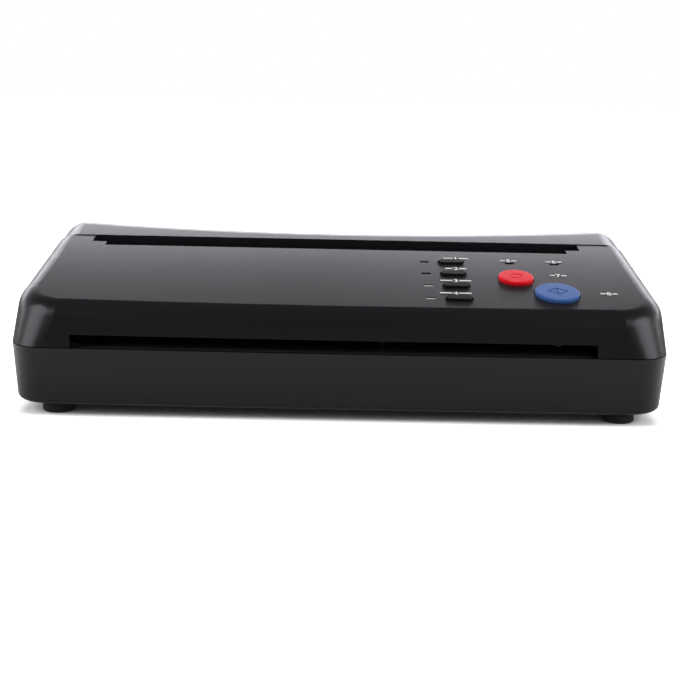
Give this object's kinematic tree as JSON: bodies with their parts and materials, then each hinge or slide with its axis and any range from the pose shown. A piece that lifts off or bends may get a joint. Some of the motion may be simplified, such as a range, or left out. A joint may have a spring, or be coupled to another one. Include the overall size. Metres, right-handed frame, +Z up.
{
  "type": "thermal stencil copier",
  "caption": "Flat desktop copier that scans a drawing through its front slot and prints it on stencil paper, with a rear-hinged cover and a key panel.",
  "frame": {"origin": "bottom centre of the bounding box: the desk surface under the middle of the machine's width and depth", "axes": "+X to the machine's right as seen from its front slot, +Y to its rear, +Z up"},
  "size_m": [0.275, 0.168, 0.0685],
  "materials": {
    "case_plastic": "fine texture, black",
    "guide_plastic": "black, smooth on the paper side",
    "foot_rubber": "matt",
    "sheet_steel": "zinc plated sheet",
    "bright_steel": "ground",
    "spring_steel": "bright",
    "brass": "turned",
    "roller_rubber": "ground",
    "acetal": "natural white",
    "aluminium": "extruded",
    "ceramic": "glazed",
    "glass": "clear",
    "board": "green solder mask",
    "component_black": "moulded",
    "connector_plastic": "natural",
    "button_blue": "satin",
    "button_red": "satin",
    "key_grey": "dark grey",
    "window_clear": "clear acrylic",
    "motor_steel": "plated can"
  },
  "bodies": {
    "base": {"lower_case": "case_plastic", "rubber_feet": "foot_rubber", "left_frame": "sheet_steel", "right_frame": "sheet_steel", "roller_bushes": "acetal", "gear_studs": "bright_steel", "motor_bracket": "sheet_steel", "stepper_motor": "motor_steel", "entry_guide": "guide_plastic", "transfer_guide": "guide_plastic", "stencil_exit_guide": "guide_plastic", "stencil_guide": "sheet_steel", "document_sensor": "component_black", "catch_clips": "spring_steel", "main_board": "board", "main_board_chips": "component_black", "main_board_connectors": "connector_plastic", "power_board": "board", "power_parts": "component_black", "power_inlet": "component_black", "switch_body": "component_black", "base_screws": "bright_steel", "hinge_pins": "bright_steel"},
    "cover": {"upper_cover": "case_plastic", "upper_guide": "guide_plastic", "head_bracket": "sheet_steel", "head_springs": "spring_steel", "scanner_springs": "spring_steel", "key_board": "board", "key_switches": "component_black", "led_lamps": "connector_plastic", "led_windows": "window_clear", "stencil_sensor": "component_black", "cover_screws": "bright_steel"},
    "platen": {"platen_shaft": "bright_steel", "platen_rubber": "roller_rubber", "platen_gear": "acetal"},
    "document_roller": {"document_shaft": "bright_steel", "document_rubber": "roller_rubber", "document_gear": "acetal"},
    "idler": {"idler_gear": "acetal"},
    "reduction": {"reduction_gear": "acetal"},
    "motor_rotor": {"motor_pinion": "brass"},
    "head": {"head_heat_sink": "aluminium", "thermal_head": "ceramic", "head_driver_cover": "component_black"},
    "scanner": {"scanner_housing": "component_black", "scanner_glass": "glass"},
    "copy_key": {"copy_button": "button_blue"},
    "stop_key": {"stop_button": "button_red"},
    "key_a": {"key_1": "key_grey"},
    "key_b": {"key_2": "key_grey"},
    "key_c": {"key_3": "key_grey"},
    "key_d": {"key_4": "key_grey"},
    "document_flag": {"document_lever": "component_black"},
    "stencil_flag": {"stencil_lever": "component_black"},
    "rocker": {"power_rocker": "component_black"}
  },
  "joints": [
    {"name": "cover_hinge", "type": "hinge", "parent": "base", "child": "cover", "pos_m": [0, 0.076, 0.04], "axis": [-1, 0, 0], "range_deg": [0, 50]},
    {"name": "copy_press", "type": "slide", "parent": "cover", "child": "copy_key", "axis": [0, 0.2181, -0.9759], "range_m": [0, 0.001], "stiffness_N_per_m": 600, "springref_m": -0.0006},
    {"name": "stop_press", "type": "slide", "parent": "cover", "child": "stop_key", "axis": [0, 0.2181, -0.9759], "range_m": [0, 0.001], "stiffness_N_per_m": 600, "springref_m": -0.0006},
    {"name": "key_1_press", "type": "slide", "parent": "cover", "child": "key_a", "axis": [0, 0.2181, -0.9759], "range_m": [0, 0.0006], "stiffness_N_per_m": 600, "springref_m": -0.0005},
    {"name": "key_2_press", "type": "slide", "parent": "cover", "child": "key_b", "axis": [0, 0.2181, -0.9759], "range_m": [0, 0.0006], "stiffness_N_per_m": 600, "springref_m": -0.0005},
    {"name": "key_3_press", "type": "slide", "parent": "cover", "child": "key_c", "axis": [0, 0.2181, -0.9759], "range_m": [0, 0.0006], "stiffness_N_per_m": 600, "springref_m": -0.0005},
    {"name": "key_4_press", "type": "slide", "parent": "cover", "child": "key_d", "axis": [0, 0.2181, -0.9759], "range_m": [0, 0.0006], "stiffness_N_per_m": 600, "springref_m": -0.0005},
    {"name": "platen_spin", "type": "hinge", "parent": "base", "child": "platen", "pos_m": [0, 0.012, 0.036], "axis": [1, 0, 0], "continuous": true},
    {"name": "document_roller_spin", "type": "hinge", "parent": "base", "child": "document_roller", "pos_m": [0, -0.032, 0.025], "axis": [1, 0, 0], "continuous": true},
    {"name": "idler_spin", "type": "hinge", "parent": "base", "child": "idler", "pos_m": [0, -0.0104, 0.02536], "axis": [1, 0, 0], "continuous": true},
    {"name": "reduction_spin", "type": "hinge", "parent": "base", "child": "reduction", "pos_m": [0, 0.03083, 0.03974], "axis": [1, 0, 0], "continuous": true},
    {"name": "motor_spin", "type": "hinge", "parent": "base", "child": "motor_rotor", "pos_m": [0, 0.048, 0.028], "axis": [1, 0, 0], "continuous": true},
    {"name": "head_float", "type": "slide", "parent": "cover", "child": "head", "axis": [0, 0, 1], "range_m": [0, 0.0008], "stiffness_N_per_m": 6000, "springref_m": -0.0012, "deforming": ["head_springs"]},
    {"name": "scanner_float", "type": "slide", "parent": "cover", "child": "scanner", "axis": [0, 0, 1], "range_m": [0, 0.0008], "stiffness_N_per_m": 4000, "springref_m": -0.0012, "deforming": ["scanner_springs"]},
    {"name": "document_lever_swing", "type": "hinge", "parent": "base", "child": "document_flag", "pos_m": [0.018, -0.068, 0.022], "axis": [-1, 0, 0], "range_deg": [0, 50], "stiffness_Nm_per_rad": 0.0006, "springref_deg": -17.19},
    {"name": "stencil_lever_swing", "type": "hinge", "parent": "cover", "child": "stencil_flag", "pos_m": [-0.085, -0.0185, 0.053], "axis": [-1, 0, 0], "range_deg": [0, 25], "stiffness_Nm_per_rad": 0.0006, "springref_deg": -17.19},
    {"name": "power_rock", "type": "hinge", "parent": "base", "child": "rocker", "pos_m": [-0.1321, 0.035, 0.0182], "axis": [0, 1, 0], "range_deg": [0, 18]}
  ],
  "couplings": [
    {"joint": "document_roller_spin", "follows": "platen_spin", "ratio": 1.3333},
    {"joint": "idler_spin", "follows": "platen_spin", "ratio": -1.0667},
    {"joint": "reduction_spin", "follows": "platen_spin", "ratio": -2},
    {"joint": "motor_spin", "follows": "platen_spin", "ratio": 6.6667}
  ]
}
